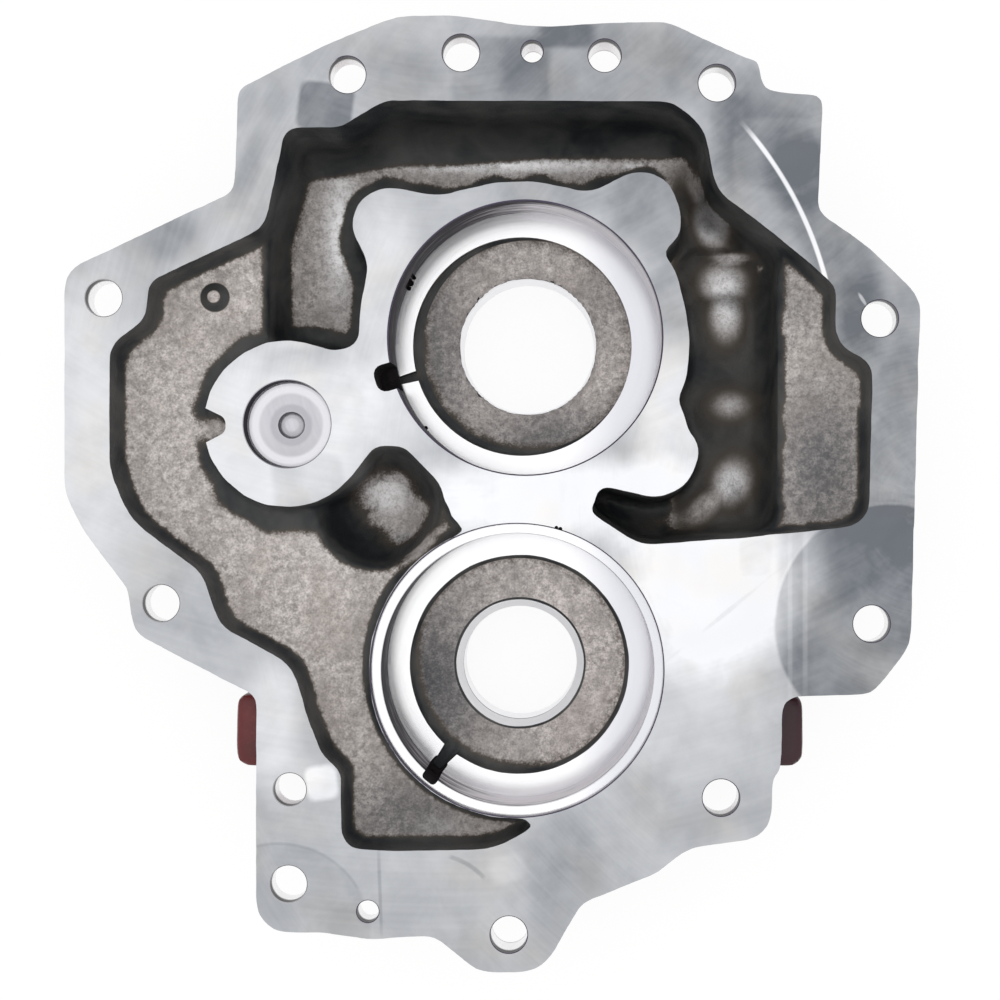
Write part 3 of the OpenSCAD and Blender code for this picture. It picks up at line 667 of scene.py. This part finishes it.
# The long bright sweep, then the patches: middle, half sizes, turn, power, softness, lighter by. The two
# large lighter patches round (12, -59) and (69, -90) are a painted highlight where the lamp shows in the
# face, and the broad lighter patches on the left and the darker ones at the upper right are painted light
# and shade; the rest are blotches and tool marks of the face.
big = placed(tree, arc, Place=spot_at, Centre=(-23.2, -13.2, 0), Radius=137.3, Width=1.2, First=0.17,
             Last=0.745, Fade=0.10)
for centre, half, turn, power, soft, amount in (
        ((12, -59), (62, 14), 0, 2, 0.5, 0.58), ((69, -90), (33, 30), 0, 2, 0.4, 0.60),
        ((56, -132), (32, 20), 0, 2, 0.7, 0.20), ((-164, -30), (24, 48), 0, 2, 0.55, 0.28),
        ((-148, -81), (16, 16), 0, 2, 0.6, 0.10), ((-131, 36), (11, 8), 25, 2, 0.6, -0.24),
        ((-110, 38), (9, 7), 25, 2, 0.6, 0.08), ((-101, 62), (4, 14), -18, 3, 0.5, -0.12),
        ((-104, 83), (4, 9), -32, 2, 0.5, -0.12), ((-91, 86), (4, 8), -28, 2, 0.6, -0.10),
        ((-73, 84), (10, 9), -8, 6, 0.10, -0.34), ((-9, 97), (18, 13), 0, 7, 0.10, -0.15),
        ((-44, 96), (14, 13), 20, 2, 0.7, -0.14), ((15, 111), (10, 5), 0, 4, 0.3, -0.26),
        ((28, 99), (42, 18), 0, 3, 0.4, -0.20), ((96, 76), (28, 24), 0, 3, 0.4, -0.20),
        ((76, 81), (7, 9), 0, 3, 0.4, -0.10), ((90, 60), (20, 32), 30, 2, 0.5, -0.14),
        ((-47, -27), (15, 18), 0, 2, 0.6, 0.22),
        ((110, 40), (12, 36), 24, 3, 0.35, -0.22), ((130, -30), (19, 52), 0, 3, 0.4, -0.22),
        ((120, 6), (11, 16), 0, 2, 0.5, -0.14), ((134.3, -104.3), (43.2, 43.2), 0, 2, 0.02, -0.30),
        ((138, -128), (14, 14), 0, 2, 0.6, 0.10), ((14, -194), (13, 18), 10, 3, 0.5, -0.16),
        ((-88, -160), (10, 9), 0, 2, 0.6, 0.16), ((-93, -138), (10, 16), 0, 2, 0.6, 0.30),
        ((-53, 12), (14, 36), 0, 2, 0.5, 0.26), ((-42, 42), (16, 10), 10, 2, 0.6, 0.06),
        ((48, 48), (16, 16), 0, 2, 0.4, -0.22), ((13, 54), (24, 8), 0, 3, 0.4, -0.12),
        ((53, -30), (13, 28), 0, 2, 0.5, 0.34), ((53, 14), (10, 15), 0, 2, 0.5, -0.12),
        ((-92, -34), (34, 33), 0, 2, 0.3, 0.36), ((-79, -55), (13, 12), 6, 5, 0.12, -0.14),
        ((-84, -9), (11, 5), 4, 3, 0.4, -0.18), ((97, -92), (5, 26), 0, 3, 0.4, -0.16),
        ((84, -80.5), (6, 7), 0, 6, 0.2, -0.12), ((-74.3, -162.5), (5.8, 6.2), 8, 4, 0.2, 0.45),
        ((96.7, -101), (0.8, 29), 0, 4, 0.5, 0.10), ((102.2, -101), (0.9, 29), 0, 4, 0.5, 0.10),
        ((73, -100.7), (21, 0.9), 39, 2, 0.6, -0.20), ((-90, -218.3), (33.6, 33.6), 0, 2, 0.03, -0.08),
        ((-53, -203), (0.6, 14), 2, 3, 0.6, -0.16), ((-6.6, -194), (6.5, 5), 20, 3, 0.3, 0.10),
        ((92, 66), (16, 14), 0, 7, 0.08, 0.06), ((-6, -60.5), (4.2, 4.2), 0, 2, 0.2, 0.10),
        ((123.1, 14.0), (2.5, 0.6), -58, 2, 0.4, 0.45)):
    mask = placed(tree, patch, Place=spot_at, Centre=(*centre, 0), Half=(*half, 1), Turn=math.radians(turn),
                  Power=power, Soft=soft, Wander=wander)["Mask"]
    tone = maths(tree, "MULTIPLY_ADD", mask, amount, tone)
for centre, radius, width, first, last, amount in (
        ((-34.5, -214.9), 26.3, 1.2, 0.70, 1.34, -0.18), ((134.3, -104.3), 43.2, 0.9, 2.3, 3.13, 0.10),
        ((-90, -218.3), 33.6, 0.8, 0.5, 1.9, -0.08)):
    mask = placed(tree, arc, Place=spot_at, Centre=(*centre, 0), Radius=radius, Width=width, First=first,
                  Last=last, Fade=0.08)["Mask"]
    tone = maths(tree, "MULTIPLY_ADD", mask, amount, tone)
tone = maths(tree, "MULTIPLY_ADD", big["Mask"], 1.0, tone, clamp=True)
iron = tint(tree, tone, (0.155, 0.170, 0.192, 1), (0.89, 0.90, 0.93, 1))
warm = between(tree, clouds(tree, spot_at, 0.03, 2.0, 0.6), 0.45, 0.7, 0.0, 0.7)
warmer = tint(tree, 1.0, iron, (1.04, 1.0, 0.94, 1), "MULTIPLY")
tree.links.new(tint(tree, warm, iron, warmer), shader["Base Color"])
tree.links.new(between(tree, streaks, 0.2, 0.8, 0.34, 0.48), shader["Roughness"])
tree.links.new(add(tree, "Bump", {"Height": lines, "Distance": 0.00002, "Strength": 0.5}).outputs[0],
               shader["Normal"])

# Faced shoulders, counterbore and floor of the pilot bore, darker to the right as painted shade; the
# chamfers at the mouths are painted dark as shade
faced, tree, shader, spot_at = finish("bored_face", 0.8)
rings_up, rings_low = (placed(tree, sweeps, Place=spot_at, Centre=(*at, 0), Across=0.8, Along=0.01,
                              Pitch=0.5) for at in (upper_at, lower_at))
across, along, height = list(add(tree, "SeparateXYZ", {0: spot_at}).outputs)
below = between(tree, along, -62.0, -60.0, 1.0, 0.0)
rings = add(tree, "Mix", {0: below, 2: rings_up["Streaks"], 3: rings_low["Streaks"]}).outputs[0]
soft = between(tree, clouds(tree, spot_at, 0.03, 2.0, 0.5), 0.35, 0.65, -0.2, 0.15)
shine = maths(tree, "ADD", between(tree, rings, 0.25, 0.75, 0.6, 1.0), soft, clamp=True)
bright = tint(tree, shine, (0.90, 0.90, 0.94, 1), (0.99, 0.99, 0.995, 1))
# The shoulders grow darker to the right: painted shade
bright = tint(tree, between(tree, across, 12.0, 38.0, 0.0, 0.75), bright, (0.64, 0.65, 0.70, 1))
blind = tint(tree, rings, (0.48, 0.475, 0.51, 1), (0.68, 0.67, 0.71, 1))
# The pilot floor: painted shade towards its lower side and in a dark ring over the groove round the dome,
# with a lighter ring further out
blind = tint(tree, between(tree, along, -32.0, -44.0, 0.0, 0.5), blind, (0.48, 0.485, 0.50, 1))
for radius, width, colour in ((6.3, 2.2, (0.40, 0.40, 0.43, 1)), (13.2, 2.2, (0.85, 0.85, 0.88, 1))):
    mask = full_ring(tree, spot_at, pilot_at, radius, width)
    blind = tint(tree, maths(tree, "MULTIPLY", mask, 0.7), blind, colour)
tree.links.new(between(tree, height, -31.5, -30.5, 0.0, 0.8), shader["Metallic"])
# Painted shade: the chamfers at the mouths are darkened
edge = between(tree, height, -1.3, -0.9)
bright = tint(tree, edge, bright, (0.10, 0.085, 0.13, 1))
tree.links.new(tint(tree, between(tree, across, -68.0, -70.0), bright, blind), shader["Base Color"])
tree.links.new(between(tree, rings, 0.2, 0.8, 0.18, 0.26), shader["Roughness"])

# Walls of the bearing seats, darker at the mouth, with painted shade on the left and painted highlight to
# the right; below the seats the shaft holes are bright, with thin dark lines of painted shade at the step
# and under the chamfer
seat, tree, shader, spot_at = finish("bored_wall", 0.1, Roughness=0.6, Specular_IOR_Level=0.12)
split = add(tree, "SeparateXYZ", {0: spot_at}).outputs
feed = add(tree, "Mapping", {"Vector": spot_at, "Scale": (0.05, 0.05, 0.5)}).outputs[0]
band = maths(tree, "ADD", clouds(tree, feed, 1.0, 3.0, 0.6),
             between(tree, split[2], -9.0, -1.0, 0.0, -0.30))
# Darker on the left and lighter to the right: painted shade and painted highlight
below = between(tree, split[1], -62.0, -60.0, 25.0, 0.0)
sideways = maths(tree, "ADD", split[0], below)
band = maths(tree, "ADD", band, between(tree, sideways, -30.0, 25.0, -0.22, 0.36))
wall_tone_light_and_shade = tint(tree, between(tree, band, 0.28, 0.88), (0.018, 0.014, 0.022, 1), (0.93, 0.90, 0.94, 1))
# Painted shade: dark on the step above the chamfer and in a thin line under it
mouth = between(tree, split[2], -31.5, -32.2)
line = between(tree, maths(tree, "ABSOLUTE", maths(tree, "ADD", split[2], 35.6)), 0.9, 1.4)
inner = tint(tree, maths(tree, "MULTIPLY", mouth, line), (0.02, 0.018, 0.022, 1), (0.95, 0.95, 0.97, 1))
lower = between(tree, split[2], -27.5, -28.0)
tree.links.new(tint(tree, lower, wall_tone_light_and_shade, inner), shader["Base Color"])
tree.links.new(maths(tree, "MULTIPLY", between(tree, split[2], -36.0, -37.0), 0.9), shader["Metallic"])
tree.links.new(between(tree, lower, 0.0, 1.0, 0.6, 0.3), shader["Roughness"])

# Drilled bolt holes, bright iron with painted shade at the mouth; dull behind the flange
drilled, tree, shader, spot_at = finish("drilled_bolt_hole", 0.0, Roughness=0.35, Specular_IOR_Level=0.2)
depth = add(tree, "SeparateXYZ", {0: spot_at}).outputs[2]
clear = maths(tree, "MULTIPLY", between(tree, depth, -3.2, -5.6), between(tree, depth, -18.0, -15.0))
tree.links.new(tint(tree, clear, (0.03, 0.028, 0.03, 1), (0.98, 0.98, 0.99, 1)), shader["Base Color"])
tree.links.new(clear, shader["Metallic"])

# Walls of the milled oil notches and the nicks, black: oil, and painted shade in these deep narrow cuts
oiled, tree, shader, spot_at = finish("oiled_wall", 0.0, Roughness=0.7, Specular_IOR_Level=0.06)
dirt = clouds(tree, spot_at, 0.4, 3.0, 0.6)
tree.links.new(tint(tree, dirt, (0.004, 0.004, 0.005, 1), (0.035, 0.030, 0.032, 1)), shader["Base Color"])

# Bare sand-cast skin of the pocket
bare, tree, shader, spot_at = finish("sand_cast_iron", 0.0, Specular_IOR_Level=0.3)
oily = add(tree, "Attribute", attribute_name="oil").outputs["Fac"]
wet = add(tree, "Attribute", attribute_name="trough").outputs["Fac"]
clean_and_highlit = add(tree, "Attribute", attribute_name="rubbed_and_highlit").outputs["Fac"]
grey = add(tree, "Attribute", attribute_name="dim").outputs["Fac"]
marks = placed(tree, mottle, Place=spot_at, Grain=1.0)
grains = between(tree, marks["Grains"], 0.30, 0.72)
floor_tint = tint(tree, grains, (0.31, 0.278, 0.262, 1), (0.93, 0.865, 0.83, 1))
patches = between(tree, clouds(tree, spot_at, 0.12, 3.0, 0.6, 0.5), 0.42, 0.68, 0.0, 0.45)
floor_tint = tint(tree, patches, floor_tint, (0.34, 0.31, 0.295, 1))
rust = between(tree, marks["Clouds"], 0.46, 0.70, 0.0, 0.35)
floor_tint = tint(tree, rust, floor_tint, (0.42, 0.36, 0.325, 1))
# Lighter where rubbed clean and where painted highlight lies
share = maths(tree, "MULTIPLY", clean_and_highlit, between(tree, grains, 0.0, 0.8, 0.5, 1.0))
floor_tint = tint(tree, share, floor_tint, (0.92, 0.915, 0.93, 1))
# Darker where dim: painted shade on the recess floors
share = maths(tree, "MULTIPLY", grey, between(tree, grains, 0.0, 1.0, 1.0, 0.8))
floor_tint = tint(tree, share, floor_tint, (0.085, 0.090, 0.100, 1))

# Black rings of painted shade: a painted shadow round the pip on the left floor, and at both edges of both
# recesses
ring = full_ring(tree, spot_at, (-116.2, 16.4), 3.9, 2.3)
edge = maths(tree, "ADD", oily, between(tree, marks["Grains"], 0.3, 0.7, 0.10, -0.10))
for centre, radius, width in ((upper_at, 41.3, 1.7), (upper_at, 25.6, 1.0), (lower_at, 41.3, 1.7),
                              (lower_at, 24.6, 0.9)):
    ring = maths(tree, "MAXIMUM", ring, full_ring(tree, spot_at, centre, radius, width))
edge = maths(tree, "MAXIMUM", edge, maths(tree, "MULTIPLY", ring, 0.95))
shaded = maths(tree, "MAXIMUM", between(tree, edge, 0.06, 0.92), maths(tree, "MULTIPLY", wet, 0.95))
fringe = tint(tree, between(tree, shaded, 0.0, 0.6), floor_tint, (0.100, 0.080, 0.062, 1))
# Near black where the skin is shaded: oil and painted shade
black_oil_and_shade = tint(tree, between(tree, marks["Clouds"], 0.3, 0.7), (0.016, 0.020, 0.024, 1),
              (0.080, 0.080, 0.078, 1))
tree.links.new(tint(tree, between(tree, shaded, 0.3, 1.0), fringe, black_oil_and_shade), shader["Base Color"])
worn = maths(tree, "MULTIPLY", clean_and_highlit, maths(tree, "SUBTRACT", 1.0, shaded))
tree.links.new(maths(tree, "MULTIPLY", worn, 0.9), shader["Metallic"])
dull = between(tree, shaded, 0.0, 1.0, 0.7, 0.45)
tree.links.new(maths(tree, "SUBTRACT", dull, maths(tree, "MULTIPLY", worn, 0.3)), shader["Roughness"])
grit = add(tree, "Bump", {"Height": marks["Relief"], "Distance": 0.0005, "Strength": 0.55}).outputs[0]
tree.links.new(grit, shader["Normal"])

# Red enamel over the cast outside
enamel, tree, shader, spot_at = finish("red_enamel", 0.0)
worn = add(tree, "Attribute", attribute_name="ridge").outputs["Fac"]
marks = placed(tree, mottle, Place=spot_at, Grain=0.8)
red = tint(tree, between(tree, marks["Clouds"], 0.3, 0.7), (0.115, 0.010, 0.012, 1),
           (0.19, 0.022, 0.022, 1))
red = tint(tree, between(tree, marks["Grains"], 0.5, 0.75, 0.0, 0.35), red, (0.26, 0.07, 0.06, 1))
# Darker on the right side of the casting: painted shade
side = between(tree, add(tree, "SeparateXYZ", {0: spot_at}).outputs[0], 40.0, 80.0, 0.0, 0.95)
red = tint(tree, side, red, (0.038, 0.006, 0.014, 1))
chip = maths(tree, "ADD", maths(tree, "MULTIPLY", worn, 0.5), clouds(tree, spot_at, 0.35, 4.0, 0.7))
bare_metal = between(tree, chip, 0.86, 0.93)
tree.links.new(tint(tree, bare_metal, red, (0.09, 0.075, 0.065, 1)), shader["Base Color"])
tree.links.new(add(tree, "Mix", {0: bare_metal, 2: 0.38, 3: 0.7}).outputs[0], shader["Roughness"])
grit = add(tree, "Bump", {"Height": marks["Relief"], "Distance": 0.0004, "Strength": 0.35}).outputs[0]
tree.links.new(grit, shader["Normal"])

for slot, finished in zip(finishes, (milled, faced, seat, oiled, bare, enamel, drilled)):
    casting.data.materials[slot] = finished
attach(casting, "root")
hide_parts("cover_casting")


# The studio: a pale floor under the casting, one large lamp beside the camera and a plain sky
floor_mesh = bmesh.new()
bmesh.ops.create_grid(floor_mesh, x_segments=1, y_segments=1, size=3)
bmesh.ops.translate(floor_mesh, verts=floor_mesh.verts, vec=(0, 0, cad_low.z - 0.0002))
ground = as_object(floor_mesh, "floor")
paper = bpy.data.materials.new("floor_paper")
paper.use_nodes = True
tree = paper.node_tree
tree.nodes.clear()
rays = add(tree, "LightPath").outputs
seen = maths(tree, "MAXIMUM", rays["Is Camera Ray"],
             maths(tree, "MAXIMUM", rays["Is Glossy Ray"], rays["Is Transmission Ray"]))
matt = add(tree, "BsdfDiffuse", {"Color": (0.80, 0.80, 0.80, 1)}).outputs[0]
shade = add(tree, "BsdfDiffuse", {"Color": (0.13, 0.13, 0.13, 1)}).outputs[0]
glow = add(tree, "Emission", {"Color": (1, 1, 1, 1), "Strength": 0.90}).outputs[0]
bright = add(tree, "AddShader", {0: shade, 1: glow}).outputs[0]
mixed = add(tree, "MixShader", {0: seen, 1: matt, 2: bright}).outputs[0]
tree.links.new(mixed, add(tree, "OutputMaterial").inputs[0])
ground.data.materials.append(paper)
ground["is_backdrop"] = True

sky = bpy.data.worlds.new("sky")
bpy.context.scene.world = sky
sky.use_nodes = True
tree = sky.node_tree
tree.nodes.clear()
rays = add(tree, "LightPath").outputs
level = add(tree, "Mix", {0: rays["Is Camera Ray"], 2: 0.86, 3: 1.0}).outputs[0]
light = add(tree, "Background", {"Color": (1, 1, 1, 1), "Strength": level}).outputs[0]
tree.links.new(light, add(tree, "OutputWorld").inputs[0])


def lamp(name, at, aim, size, power):
    data = bpy.data.lights.new(name, "AREA")
    data.shape = "DISK"
    data.size = size
    data.energy = power
    made = bpy.data.objects.new(name, data)
    bpy.context.scene.collection.objects.link(made)
    made.location = at
    made.rotation_mode = "QUATERNION"
    made.rotation_quaternion = (Vector(aim) - Vector(at)).to_track_quat("-Z", "Y")


lamp("softbox", (-0.25, 0.10, 2.4), (0, -0.08, 0), 2.6, 6.0)

# The camera looks straight down on the mating face, as in the photograph
eye = bpy.data.objects.new("camera", bpy.data.cameras.new("camera"))
bpy.context.scene.collection.objects.link(eye)
eye.location = (0.0200, -0.0629, 0.650)
eye.data.sensor_width = 36
eye.data.lens = 64.1
eye.data.shift_x = -0.080
eye.data.shift_y = 0.0099
bpy.context.scene.camera = eye
bpy.context.scene.view_settings.view_transform = "Standard"

low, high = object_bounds()
